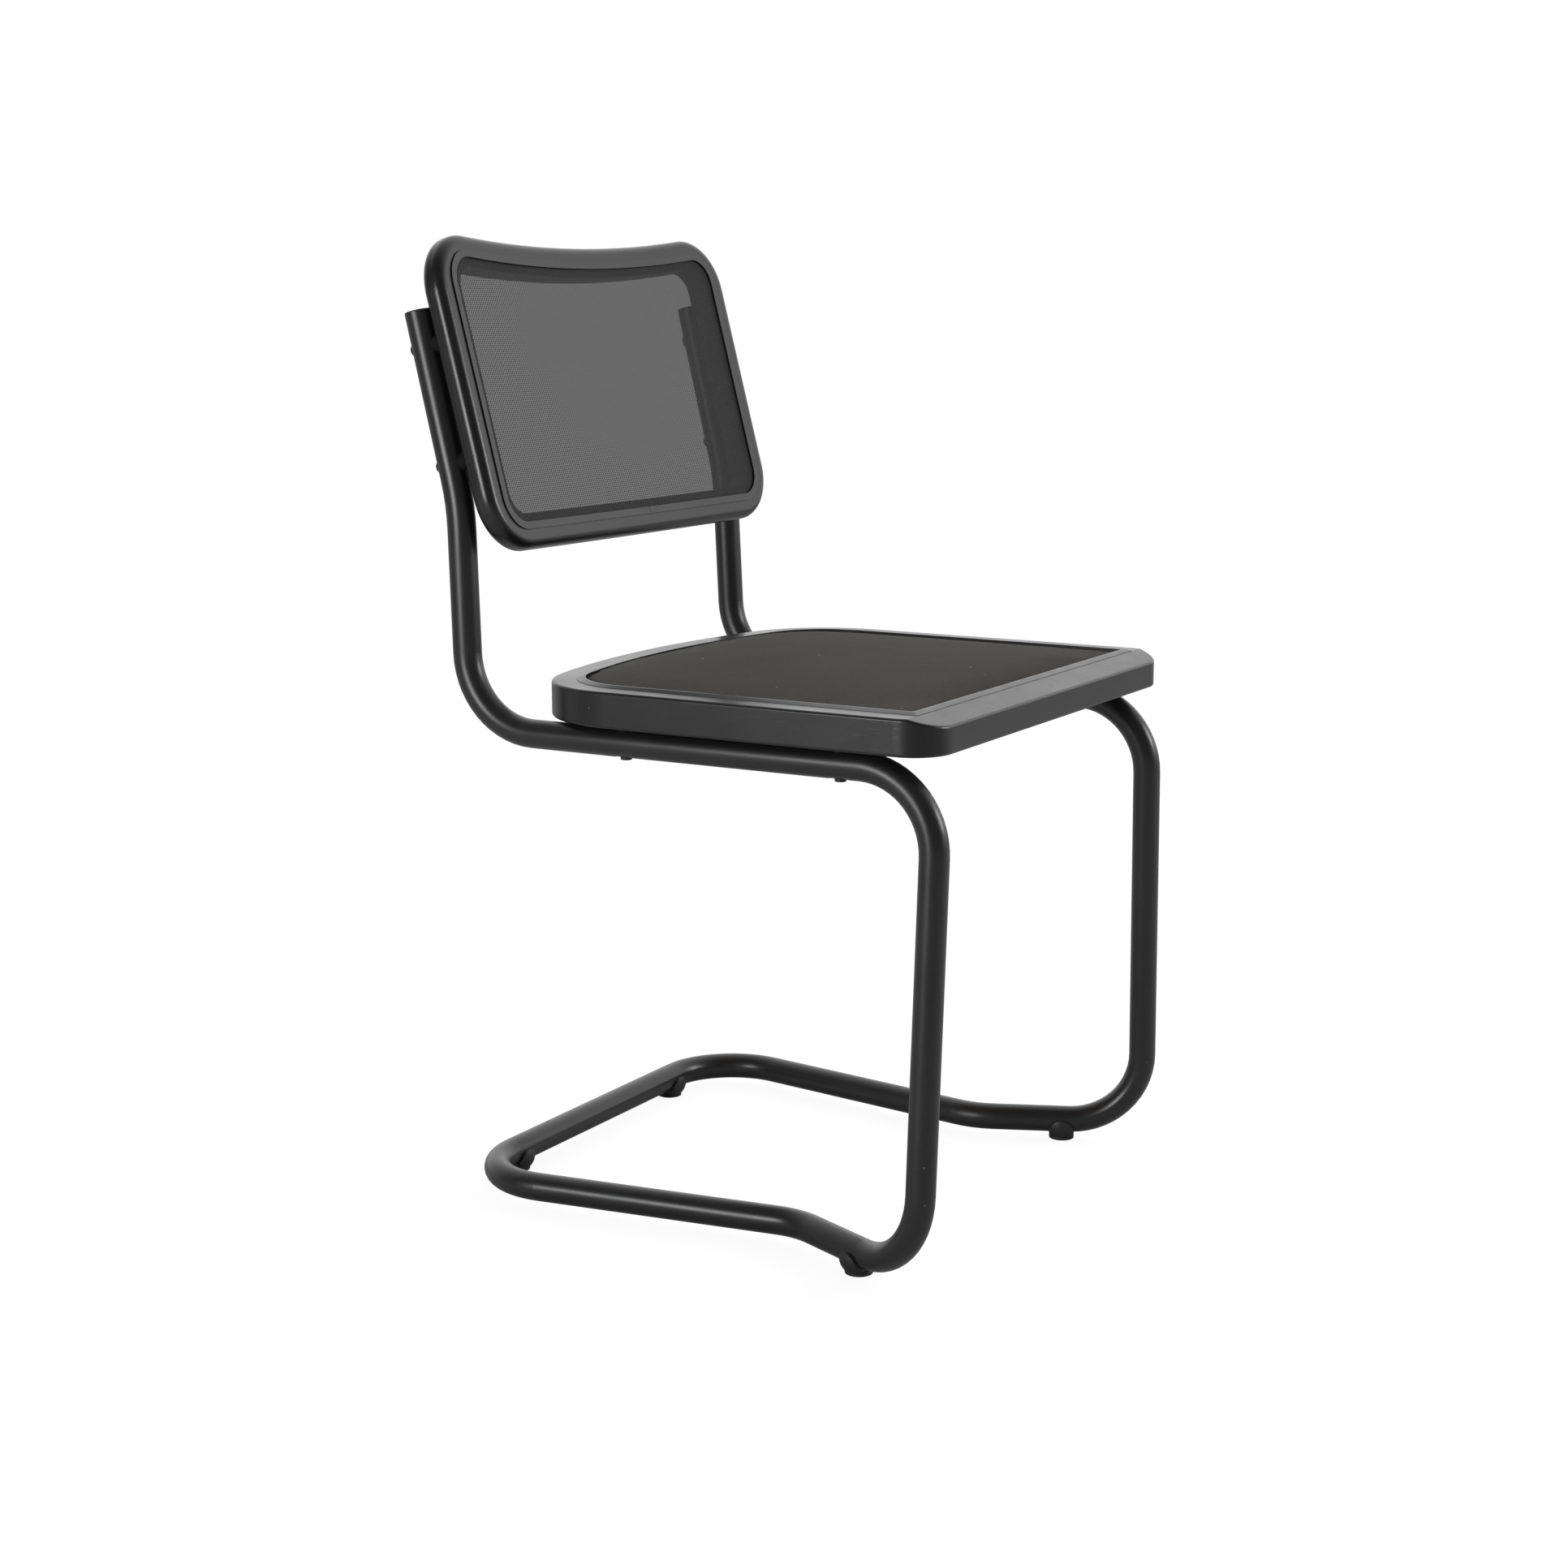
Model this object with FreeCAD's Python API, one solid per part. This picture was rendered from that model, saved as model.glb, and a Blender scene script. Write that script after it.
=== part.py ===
"""Cantilever dining chair: bent steel tube frame, wooden seat frame with a
padded fabric seat, and a concave wooden back frame with a mesh panel.

Millimetres, +Z up, the sitter faces -Y. While the pieces are made, y = 0 is the
centreline of the front bends and z = 0 is the floor. At the end everything is
moved so that the origin lies under the middle of the chair, on the floor.
"""
import FreeCAD, Part
import math
import os
from FreeCAD import Vector

# Steel tube: diameters and bends
tube_diameter = 25.0
tube_wall = 2.0
bend_radius = 68.5
dogleg_radius = 220.0

# Steel tube: half the width, length and height of the bent shape, on its centreline
front_bend_x = 217.5
rear_bend_y = 452.6
seat_rail_z = 433.3

# Steel tube: how far the other bends lie from those three
rear_bend_out = 5.0
upright_out = 2.1
upright_rake = 7.9
upright_lean = 13.75
dogleg_over_rail = 193.8
upright_over_dogleg = 162.9
front_foot_out = 19.8
front_foot_y = 3.8
waist_in = 44.1
waist_from_rear = 300.9
rear_corner_out = 2.3
rear_corner_behind = 24.5

# Glides under the base
glide_saddle_radius = 17.0
glide_lobe_radius = 12.0
glide_lobe_rise = 2.0
glide_pad_diameter = 24.0
glide_pad_height = 4.0
glide_pad_edge = 0.6
glide_wall_under_tube = 2.0
glide_peg_diameter = 6.0
glide_peg_length = 8.0
glide_front_y = 74.0
glide_rear_in = 86.8

# Plugs in the tops of the uprights
plug_length = 16.0
plug_head = 1.2

# Seat frame of wood
seat_overhang = 23.5
seat_thickness = 31.0
seat_over_tube = 1.4
seat_front_y = -7.0
seat_before_upright = 36.6
seat_bow_radius = 750.0
seat_front_corner = 35.0
seat_rear_corner = 97.0
seat_edge_round = 2.5
seat_slope_run = 24.5
seat_slope_drop = 7.4
seat_groove_inset = 21.5
seat_groove_depth = 9.0
seat_ledge_width = 7.0
seat_ledge_drop = 2.4
panel_ledge_width = 12.0
panel_thickness = 6.0
panel_depth = 16.0
panel_corner = 8.0
cover_corner = 2.0
seat_rear_rail_depth = 86.0
dowel_height_share = 0.32
seat_mitre_dowel_share = 0.62

# Seat upholstery
spline_width = 8.0
spline_proud = 1.9
spline_low_edge = 0.3
spline_corner = 1.5
spline_slope_share = 0.75
seat_crown = 8.0
seat_crown_edge = 0.4
cover_thickness = 1.2

# Back frame of wood: a curved slab cut to a rounded outline
back_overhang = 11.4
back_before_upright = 22.5
back_over_dogleg = 87.9
back_extra_lean = 1.15
back_thickness = 22.0
back_concavity = 7.0
back_top_middle = 134.5
back_top_rise = 14.0
back_bottom = 134.3
back_corner = 50.0
back_edge_round = 8.5
back_stile_inset = 17.2
back_top_inset = 14.5
back_bottom_inset = 16.3
back_groove_depth = 7.0
back_spline_width = 6.8
back_spline_proud = 1.2
back_ledge_width = 7.5
back_ledge_drop = 1.7
back_groove_corner = 30.0
back_ledge_corner = 24.0
back_opening_corner = 20.0
back_dowel_share = 0.42
back_dowel_depth = 3.0
mesh_thickness = 0.8
spline_butt_gap = 0.4
spline_butt_x = 15.0

# Fasteners
seat_screw_diameter = 6.0
seat_screw_front_inset = 94.0
seat_screw_rear_inset = 124.0
seat_screw_grip = 18.0
back_screw_diameter = 5.0
back_screw_upper = 52.0
back_screw_lower = -50.0
back_screw_grip = 12.0
screw_head_diameter = 10.0
screw_head_height = 3.0
screw_head_round = 1.0
screw_tip_gap = 1.0
hex_socket = 4.0
dimple_depth = 1.2
spacer_diameter = 15.0
insert_wall = 1.4
insert_clearance = 0.1
shank_clearance = 0.5
dowel_diameter = 8.0
dowel_length = 36.0
dowel_spacing = 13.0
panel_screw_diameter = 3.5
panel_screw_length = 13.0
panel_screw_head = 2.0
panel_screw_front_inset = 137.0
panel_screw_rear_inset = 176.0
panel_screw_edge = 8.0

# Fits
soft_gap = 0.3
slide_gap = 0.15

# Values that follow
tube_radius = tube_diameter / 2
bore_radius = tube_radius - tube_wall
base_z = glide_pad_height + glide_wall_under_tube + tube_radius
upright_x = front_bend_x + upright_out
dogleg_y = rear_bend_y + upright_rake
dogleg_z = seat_rail_z + dogleg_over_rail
upright_top_z = dogleg_z + upright_over_dogleg
rear_bend_x = front_bend_x + rear_bend_out
front_foot_x = front_bend_x + front_foot_out
waist_x = front_bend_x - waist_in
waist_y = rear_bend_y - waist_from_rear
rear_corner_x = front_bend_x + rear_corner_out
rear_corner_y = rear_bend_y + rear_corner_behind
glide_rear_x = rear_corner_x - glide_rear_in
seat_bottom_z = seat_rail_z + tube_radius + seat_over_tube
seat_top_z = seat_bottom_z + seat_thickness
seat_half = front_bend_x + seat_overhang
seat_rear_y = rear_bend_y - seat_before_upright
side_rail_rear_y = seat_rear_y - seat_rear_rail_depth
seat_screw_front_y = seat_front_y + seat_screw_front_inset
seat_screw_rear_y = seat_rear_y - seat_screw_rear_inset
panel_top_z = seat_top_z - panel_depth + panel_thickness
seat_cover_inset = seat_groove_inset + spline_width
seat_opening_inset = seat_cover_inset + seat_ledge_width
back_half = upright_x + back_overhang
slab_radius = (back_half ** 2 + back_concavity ** 2) / (2 * back_concavity)
top_arc_radius = (back_half ** 2 + back_top_rise ** 2) / (2 * back_top_rise)
lean_radians = math.radians(upright_lean)
upright_top_y = dogleg_y + upright_over_dogleg * math.tan(lean_radians)
back_centre_y = dogleg_y + back_over_dogleg * math.tan(lean_radians) - back_before_upright
back_centre_z = dogleg_z + back_over_dogleg
back_lean = upright_lean + back_extra_lean
upright_axis = Vector(0, math.sin(lean_radians), math.cos(lean_radians))
LEFT = -1
RIGHT = 1
SIDES = (LEFT, RIGHT)
REACH = 90.0

nodes = {}


def fuse_all(shapes):
    """One shape from several that touch or overlap."""
    whole = shapes[0]
    for shape in shapes[1:]:
        whole = whole.fuse(shape)
    return whole.removeSplitter()


def group(shapes):
    """Separate solids kept side by side in one node."""
    solids = []
    for shape in shapes:
        solids.extend(shape.Solids)
    return Part.Compound(solids)


def rounded_path(corners, radii):
    """A wire of straight runs joined by tangent arcs, one radius per inner corner."""
    edges = []
    start = corners[0]
    for place, radius in enumerate(radii, 1):
        here = corners[place]
        back = (corners[place - 1] - here).normalize()
        onward = (corners[place + 1] - here).normalize()
        half_angle = back.getAngle(onward) / 2
        reach = radius / math.tan(half_angle)
        arc_start = here + back * reach
        arc_end = here + onward * reach
        bisector = (back + onward).normalize()
        middle = here + bisector * (radius / math.sin(half_angle) - radius)
        edges.append(Part.LineSegment(start, arc_start).toShape())
        edges.append(Part.Arc(arc_start, middle, arc_end).toShape())
        start = arc_end
    edges.append(Part.LineSegment(start, corners[-1]).toShape())
    return Part.Wire(edges)


def round_bar(start, direction, radius, length):
    """A cylinder from a point along a direction."""
    return Part.makeCylinder(radius, length, start, direction)


def rounded_edges(solid, radius, wanted):
    """Rounds the edges that the test picks."""
    return solid.makeFillet(radius, [edge for edge in solid.Edges if wanted(edge)])


# Steel tube frame

def tube_corners(side):
    """Centreline corners of one side, from the top of the upright to the rear corner."""
    return [
        Vector(side * upright_x, upright_top_y, upright_top_z),
        Vector(side * upright_x, dogleg_y, dogleg_z),
        Vector(side * rear_bend_x, rear_bend_y, seat_rail_z),
        Vector(side * front_bend_x, 0, seat_rail_z),
        Vector(side * front_foot_x, front_foot_y, base_z),
        Vector(side * waist_x, waist_y, base_z),
        Vector(side * rear_corner_x, rear_corner_y, base_z),
    ]


def tube_solid(radius, stretch):
    """The whole bent tube as a solid bar, with both ends made longer by stretch."""
    left = tube_corners(LEFT)
    right = tube_corners(RIGHT)
    left[0] = left[0] + upright_axis * stretch
    right[0] = right[0] + upright_axis * stretch
    side_radii = [dogleg_radius] + [bend_radius] * 5
    path = rounded_path(left + right[::-1], side_radii + side_radii[::-1])
    ring = Part.Wire(Part.makeCircle(radius, left[0], upright_axis))
    return path.makePipeShell([ring], True, False)


def front_glide_x():
    """Distance of the runner's centreline from the middle at the front glides."""
    share = (glide_front_y - front_foot_y) / (waist_y - front_foot_y)
    return front_foot_x + (waist_x - front_foot_x) * share


def glide_centres():
    """Node names of the glides and the tube centreline points above them."""
    centres = {}
    for side, name in ((LEFT, "left"), (RIGHT, "right")):
        centres["glide_front_" + name] = Vector(side * front_glide_x(), glide_front_y, base_z)
        centres["glide_rear_" + name] = Vector(side * glide_rear_x, rear_corner_y, base_z)
    return centres


def seat_screw_places():
    """Points on the seat rail centreline over the four seat screws."""
    places = []
    for side in SIDES:
        for y in (seat_screw_front_y, seat_screw_rear_y):
            share = y / rear_bend_y
            x = front_bend_x + (rear_bend_x - front_bend_x) * share
            places.append(Vector(side * x, y, seat_rail_z))
    return places


def back_frame_placement():
    """Turns the upright local frame of the back into its leaning place."""
    turn = FreeCAD.Rotation(Vector(1, 0, 0), -back_lean)
    return FreeCAD.Placement(Vector(0, back_centre_y, back_centre_z), turn)


def back_screw_places():
    """Points on the upright centrelines behind the four back screws."""
    frame = back_frame_placement()
    places = []
    for side in SIDES:
        for height in (back_screw_lower, back_screw_upper):
            target = frame.multVec(Vector(side * upright_x, -back_concavity, height))
            foot = Vector(side * upright_x, dogleg_y, dogleg_z)
            along = (target - foot).dot(upright_axis)
            places.append(foot + upright_axis * along)
    return places


upright_front = Vector(0, -math.cos(lean_radians), math.sin(lean_radians))
tube_bar = tube_solid(tube_radius, 0)


def make_tube_frame():
    """Hollow tube with its screw holes, pressed flats and glide holes."""
    frame = tube_bar.cut(tube_solid(bore_radius, tube_wall))
    up = Vector(0, 0, 1)
    drillings = []
    for place in seat_screw_places():
        hole = seat_screw_diameter / 2 + shank_clearance
        drillings.append(round_bar(place - up * tube_diameter, up, hole, 2 * tube_diameter))
        flat_z = tube_radius - dimple_depth
        drillings.append(round_bar(place - up * flat_z, -up, screw_head_diameter, tube_radius))
    for place in back_screw_places():
        hole = back_screw_diameter / 2 + shank_clearance
        start = place - upright_front * tube_diameter
        drillings.append(round_bar(start, upright_front, hole, 2 * tube_diameter))
        start = place - upright_front * (tube_radius - dimple_depth)
        drillings.append(round_bar(start, -upright_front, screw_head_diameter, tube_radius))
    for centre in glide_centres().values():
        hole = glide_peg_diameter / 2
        drillings.append(round_bar(centre - up * tube_diameter, up, hole, tube_diameter))
    for drilling in drillings:
        frame = frame.cut(drilling)
    nodes["tube_frame"] = frame


def make_upright_plugs():
    """Domed plugs pressed into the open tops of the uprights."""
    for side, name in ((LEFT, "left"), (RIGHT, "right")):
        top = Vector(side * upright_x, upright_top_y, upright_top_z)
        head = round_bar(top, upright_axis, tube_radius, plug_head)
        head = rounded_edges(head, plug_head * 0.75, lambda edge: is_far_ring(edge, top))
        stem_radius = bore_radius - slide_gap
        stem = round_bar(top, -upright_axis, stem_radius, plug_length)
        nodes["upright_plug_" + name] = head.fuse(stem).removeSplitter()


def is_far_ring(edge, top):
    """True for the ring at the outer end of a plug's head."""
    distance = (edge.BoundBox.Center - top).dot(upright_axis)
    return edge.Closed and distance > plug_head / 2


def tube_crossing(name):
    """Level direction across the tube above a glide."""
    if "rear" in name:
        return Vector(0, 1, 0)
    side = LEFT if "left" in name else RIGHT
    along = Vector(side * (waist_x - front_foot_x), waist_y - front_foot_y, 0)
    return Vector(-along.y, along.x, 0).normalize()


def make_glides():
    """Saddle glides: two rounded lobes that hug the tube, a peg into it and a round pad."""
    up = Vector(0, 0, 1)
    pads = []
    for name, centre in glide_centres().items():
        foot = Vector(centre.x, centre.y, 0)
        dome = Part.makeSphere(glide_saddle_radius, centre - up * glide_wall_under_tube * 2)
        size = 4 * glide_saddle_radius
        across = tube_crossing(name)
        lobe_middle = centre + up * (glide_lobe_rise - glide_lobe_radius)
        arch = round_bar(lobe_middle - across * size / 2, across, glide_lobe_radius, size)
        corner = Vector(centre.x - size / 2, centre.y - size / 2, glide_pad_height)
        room = Part.makeBox(size, size, size, corner)
        saddle = dome.common(arch).common(room).cut(tube_bar)
        peg_radius = glide_peg_diameter / 2 - slide_gap
        peg_length = glide_wall_under_tube / 2 + glide_peg_length
        peg_start = foot + up * (glide_pad_height + glide_wall_under_tube / 2)
        saddle = saddle.fuse(round_bar(peg_start, up, peg_radius, peg_length))
        nodes[name] = saddle.removeSplitter()
        pad = round_bar(foot, up, glide_pad_diameter / 2, glide_pad_height)
        rims = [edge for edge in pad.Edges if edge.Closed]
        pads.append(pad.makeFillet(glide_pad_edge, rims))
    nodes["glide_pads"] = group(pads)


# Seat frame

def seat_block(side_inset, front_inset, bottom, top, front_corner):
    """A block with the outline of the seat, drawn in by an inset."""
    half = seat_half - side_inset
    bow = seat_bow_radius - side_inset
    bow_centre = seat_rear_y - seat_bow_radius
    front = seat_front_y + front_inset
    rear_side = bow_centre + math.sqrt(bow ** 2 - half ** 2)
    front_left = Vector(-half, front, bottom)
    front_right = Vector(half, front, bottom)
    rear_right = Vector(half, rear_side, bottom)
    rear_left = Vector(-half, rear_side, bottom)
    rear_middle = Vector(0, bow_centre + bow, bottom)
    outline = Part.Wire([
        Part.LineSegment(front_left, front_right).toShape(),
        Part.LineSegment(front_right, rear_right).toShape(),
        Part.Arc(rear_right, rear_middle, rear_left).toShape(),
        Part.LineSegment(rear_left, front_left).toShape(),
    ])
    block = Part.Face(outline).extrude(Vector(0, 0, top - bottom))
    half_way = (front + rear_side) / 2
    block = rounded_edges(block, front_corner,
                          lambda edge: is_upright(edge) and edge.BoundBox.Center.y < half_way)
    rear_corner = seat_rear_corner - side_inset
    return rounded_edges(block, rear_corner,
                         lambda edge: is_upright(edge) and edge.BoundBox.YMin > rear_side - 1)


def is_upright(edge):
    """True for an edge along Z."""
    box = edge.BoundBox
    return box.ZLength > 0.1 and box.XLength < 0.01 and box.YLength < 0.01


def seat_slope():
    """The wedge that is planed off the top of the front rail."""
    wide = seat_half + REACH
    slope = seat_slope_drop / seat_slope_run
    section = Part.makePolygon([
        Vector(-wide, seat_front_y + seat_slope_run, seat_top_z),
        Vector(-wide, seat_front_y - REACH, seat_top_z - seat_slope_drop - REACH * slope),
        Vector(-wide, seat_front_y - REACH, seat_top_z + REACH),
        Vector(-wide, seat_front_y + seat_slope_run, seat_top_z + REACH),
        Vector(-wide, seat_front_y + seat_slope_run, seat_top_z),
    ])
    return Part.Face(section).extrude(Vector(2 * wide, 0, 0))


def seat_ring():
    """The whole seat frame before it is parted into its four rails."""
    block = seat_block(0, 0, seat_bottom_z, seat_top_z, seat_front_corner)
    block = block.cut(seat_slope())
    low = seat_top_z - seat_slope_drop - 0.1
    block = rounded_edges(block, seat_edge_round, lambda edge: is_outer_edge(edge, low))
    opening = seat_opening_inset + panel_ledge_width
    front = seat_slope_run + spline_width + seat_ledge_width
    low_z = seat_bottom_z - 1
    panel_z = seat_top_z - panel_depth
    ledge_z = seat_top_z - seat_ledge_drop
    high_z = seat_top_z + 1
    inner = seat_block(opening, front + panel_ledge_width, low_z, high_z, panel_corner)
    block = block.cut(inner)
    block = block.cut(seat_block(seat_opening_inset, front, panel_z, high_z, panel_corner))
    inner_front = seat_slope_run + spline_width
    block = block.cut(seat_block(seat_cover_inset, inner_front, ledge_z, high_z, cover_corner))
    groove_z = seat_top_z - seat_groove_depth
    return block.cut(seat_band(seat_groove_inset, seat_slope_run, groove_z, high_z, 0))


def is_outer_edge(edge, low):
    """True for the edges around the top and the bottom of the solid seat block."""
    box = edge.BoundBox
    if box.ZLength > seat_slope_drop + 1:
        return False
    crease = box.XLength > seat_half and abs(box.Center.y - seat_front_y - seat_slope_run) < 1
    return not crease and (box.ZMin > low or box.ZMax < seat_bottom_z + 1)


def seat_band(inset, front_inset, bottom, top, gap):
    """A band along the groove of the seat, as wide as the spline less the gap on each side."""
    outer = seat_block(inset + gap, front_inset + gap, bottom, top, spline_corner)
    inner_inset = inset + spline_width - gap
    inner_front = front_inset + spline_width - gap
    inner = seat_block(inner_inset, inner_front, bottom - 1, top + 1, spline_corner)
    return outer.cut(inner)


def seat_mitre(side):
    """The block whose edge parts the front rail from a side rail at 45 degrees."""
    wide = seat_half + REACH
    corner = Vector(side * seat_half, seat_front_y, seat_bottom_z - 1)
    outline = Part.makePolygon([
        corner + Vector(side * REACH, -REACH, 0),
        corner + Vector(-side * REACH, REACH, 0),
        Vector(side * (seat_half - REACH), side_rail_rear_y, seat_bottom_z - 1),
        Vector(side * wide, side_rail_rear_y, seat_bottom_z - 1),
        corner + Vector(side * REACH, -REACH, 0),
    ])
    return Part.Face(outline).extrude(Vector(0, 0, seat_thickness + 2))


def make_seat_frame():
    """Four rails, mitred in front and butted behind, with two dowels in each joint."""
    ring = seat_ring()
    dowels = []
    width = seat_opening_inset + panel_ledge_width
    middle_z = seat_bottom_z + seat_thickness * dowel_height_share
    radius = dowel_diameter / 2
    for side in SIDES:
        butt_x = side * (seat_half - width / 2)
        mitre_x = side * (seat_half - width * seat_mitre_dowel_share)
        mitre_y = seat_front_y + width * seat_mitre_dowel_share
        across = Vector(side, 1, 0).normalize()
        along = Vector(-side, 1, 0).normalize()
        for step in (-0.5, 0.5):
            centre = Vector(butt_x + step * dowel_spacing, side_rail_rear_y, middle_z)
            start = centre - Vector(0, dowel_length / 2, 0)
            dowels.append(round_bar(start, Vector(0, 1, 0), radius, dowel_length))
            centre = Vector(mitre_x, mitre_y, middle_z) + along * (step * dowel_spacing)
            start = centre - across * (dowel_length / 2)
            dowels.append(round_bar(start, across, radius, dowel_length))
    inserts, threads = make_seat_screws(ring)
    for drilled in dowels + threads:
        ring = ring.cut(drilled)
    left_block = seat_mitre(LEFT)
    right_block = seat_mitre(RIGHT)
    nodes["seat_side_rail_left"] = ring.common(left_block)
    nodes["seat_side_rail_right"] = ring.common(right_block)
    rest = ring.cut(left_block).cut(right_block).Solids
    rest.sort(key=lambda solid: solid.CenterOfMass.y)
    nodes["seat_front_rail"] = rest[0]
    nodes["seat_rear_rail"] = rest[1]
    nodes["seat_dowels"] = group(dowels)
    nodes["seat_inserts"] = group(inserts)


def screw(start, direction, diameter, length):
    """A screw with a low round head and a hexagon socket; start is under its head."""
    head = round_bar(start, -direction, screw_head_diameter / 2, screw_head_height)
    far = start - direction * (screw_head_height / 2)
    head = rounded_edges(head, screw_head_round, lambda edge: edge.Closed
                         and (edge.BoundBox.Center - far).dot(direction) < 0)
    socket = Part.makeCylinder(hex_socket / 2, screw_head_height / 2,
                               start - direction * screw_head_height, direction)
    shank = round_bar(start, direction, diameter / 2, length)
    return head.fuse(shank).removeSplitter().cut(socket)


def threaded_insert(start, direction, screw_diameter, length):
    """A brass sleeve round a screw, and the hole that it fills in the wood."""
    bore = screw_diameter / 2 + insert_clearance
    outside = bore + insert_wall
    body = round_bar(start, direction, outside, length)
    sleeve = body.cut(round_bar(start, direction, bore, length))
    return sleeve, body


def make_seat_screws(ring):
    """Screws from under the rail, spacers on the tube and inserts in the seat frame."""
    up = Vector(0, 0, 1)
    screws = []
    spacers = []
    inserts = []
    holes = []
    for place in seat_screw_places():
        under = place - up * (tube_radius - dimple_depth)
        seat_face = Vector(place.x, place.y, seat_bottom_z)
        grip = seat_bottom_z - under.z + seat_screw_grip - screw_tip_gap
        screws.append(screw(under, up, seat_screw_diameter, grip))
        height = seat_bottom_z - place.z
        spacer = round_bar(place, up, spacer_diameter / 2, height).cut(tube_bar)
        hole = seat_screw_diameter / 2 + shank_clearance
        spacers.append(spacer.cut(round_bar(place, up, hole, height)))
        sleeve, body = threaded_insert(seat_face, up, seat_screw_diameter, seat_screw_grip)
        inserts.append(sleeve)
        holes.append(body)
    nodes["seat_screws"] = group(screws)
    nodes["seat_spacers"] = group(spacers)
    return inserts, holes


# Seat upholstery

def dome(top_z, gap_below):
    """A wide block with a low crown on top, lofted through five sections."""
    half = seat_half - seat_cover_inset
    front = seat_front_y + seat_slope_run + spline_width
    rear = seat_rear_y - seat_cover_inset
    middle_y = (front + rear) / 2
    half_length = (rear - front) / 2
    edge_z = top_z - gap_below
    sections = []
    for share in (-1.04, -0.75, -0.3, 0.3, 0.75, 1.04):
        y = middle_y + share * half_length
        crown = seat_crown_edge + seat_crown * max(0.0, 1 - share ** 4)
        left = Vector(-half - 1, y, edge_z)
        right = Vector(half + 1, y, edge_z)
        below_left = Vector(-half - 1, y, seat_bottom_z)
        below_right = Vector(half + 1, y, seat_bottom_z)
        sections.append(Part.Wire([
            Part.LineSegment(below_left, below_right).toShape(),
            Part.LineSegment(below_right, right).toShape(),
            Part.Arc(right, Vector(0, y, edge_z + crown), left).toShape(),
            Part.LineSegment(left, below_left).toShape(),
        ]))
    return Part.makeLoft(sections, True, False)


def make_seat_upholstery():
    """Plywood panel with its screws, foam pad, stretched cover and the spline round it."""
    panel_z = seat_top_z - panel_depth
    front = seat_slope_run + spline_width + seat_ledge_width
    inset = seat_opening_inset + soft_gap
    panel = seat_block(inset, front + soft_gap, panel_z, panel_top_z, panel_corner)
    screws = []
    line = seat_opening_inset + panel_ledge_width / 2
    front_y = seat_front_y + front + panel_ledge_width / 2
    rear_y = seat_rear_y - seat_opening_inset - panel_screw_edge
    side_x = seat_half - line
    side_ys = (seat_front_y + panel_screw_front_inset, seat_rear_y - panel_screw_rear_inset)
    spots = [(side * side_x, y) for side in SIDES for y in side_ys]
    spots += [(side * side_x / 2, front_y) for side in SIDES]
    spots += [(0.0, front_y), (0.0, rear_y)]
    for x, y in spots:
        head_radius = panel_screw_diameter
        top = Vector(x, y, panel_top_z)
        cone = Part.makeCone(head_radius, panel_screw_diameter / 2, panel_screw_head, top,
                             Vector(0, 0, -1))
        shank = round_bar(top, Vector(0, 0, -1), panel_screw_diameter / 2, panel_screw_length)
        screws.append(cone.fuse(shank).removeSplitter())
    for fixing in screws:
        panel = panel.cut(fixing)
        for name in ("seat_front_rail", "seat_rear_rail",
                     "seat_side_rail_left", "seat_side_rail_right"):
            if nodes[name].BoundBox.intersect(fixing.BoundBox):
                nodes[name] = nodes[name].cut(fixing)
    nodes["seat_panel"] = panel
    nodes["panel_screws"] = group(screws)

    cover_low_z = seat_top_z - seat_ledge_drop + soft_gap
    edge_z = seat_top_z - soft_gap
    under_cover = dome(edge_z, cover_thickness)
    foam = seat_block(inset, front + soft_gap, panel_top_z + soft_gap, seat_top_z + REACH,
                      panel_corner)
    nodes["seat_foam"] = foam.common(dome(edge_z, cover_thickness + soft_gap))
    cover = seat_block(seat_cover_inset + soft_gap, seat_slope_run + spline_width + soft_gap,
                       cover_low_z, seat_top_z + REACH, cover_corner)
    cover = cover.common(dome(edge_z, 0)).cut(under_cover)
    nodes["seat_cover"] = cover

    bottom = seat_top_z - seat_groove_depth
    band = seat_band(seat_groove_inset, seat_slope_run, bottom, seat_top_z + spline_proud, slide_gap)
    nodes["seat_spline"] = band.common(fuse_all([low_part(bottom), sloped_cap()]))


def low_part(bottom):
    """The space of the seat spline below its low outer edge."""
    top = seat_top_z + spline_low_edge
    return seat_block(seat_groove_inset - 1, seat_slope_run - 1, bottom - 1, top, spline_corner + 1)


def sloped_cap():
    """A flat-topped mound whose slope shapes the top of the seat spline."""
    low_z = seat_top_z + spline_low_edge
    high_z = seat_top_z + spline_proud
    run = spline_width * spline_slope_share
    mound_low = seat_block(seat_groove_inset, seat_slope_run, low_z, low_z + 1, spline_corner)
    mound_high = seat_block(seat_groove_inset + run, seat_slope_run + run, high_z - 1, high_z,
                            spline_corner)
    lower = [face for face in mound_low.Faces if is_level(face, low_z)][0].OuterWire
    upper = [face for face in mound_high.Faces if is_level(face, high_z)][0].OuterWire
    return Part.makeLoft([lower, upper], True, True)


def is_level(face, height):
    """True for a flat face that lies at a height."""
    box = face.BoundBox
    return box.ZLength < 0.01 and abs(box.ZMin - height) < 0.01


# Back frame, made upright about its own middle and then leaned back

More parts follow.
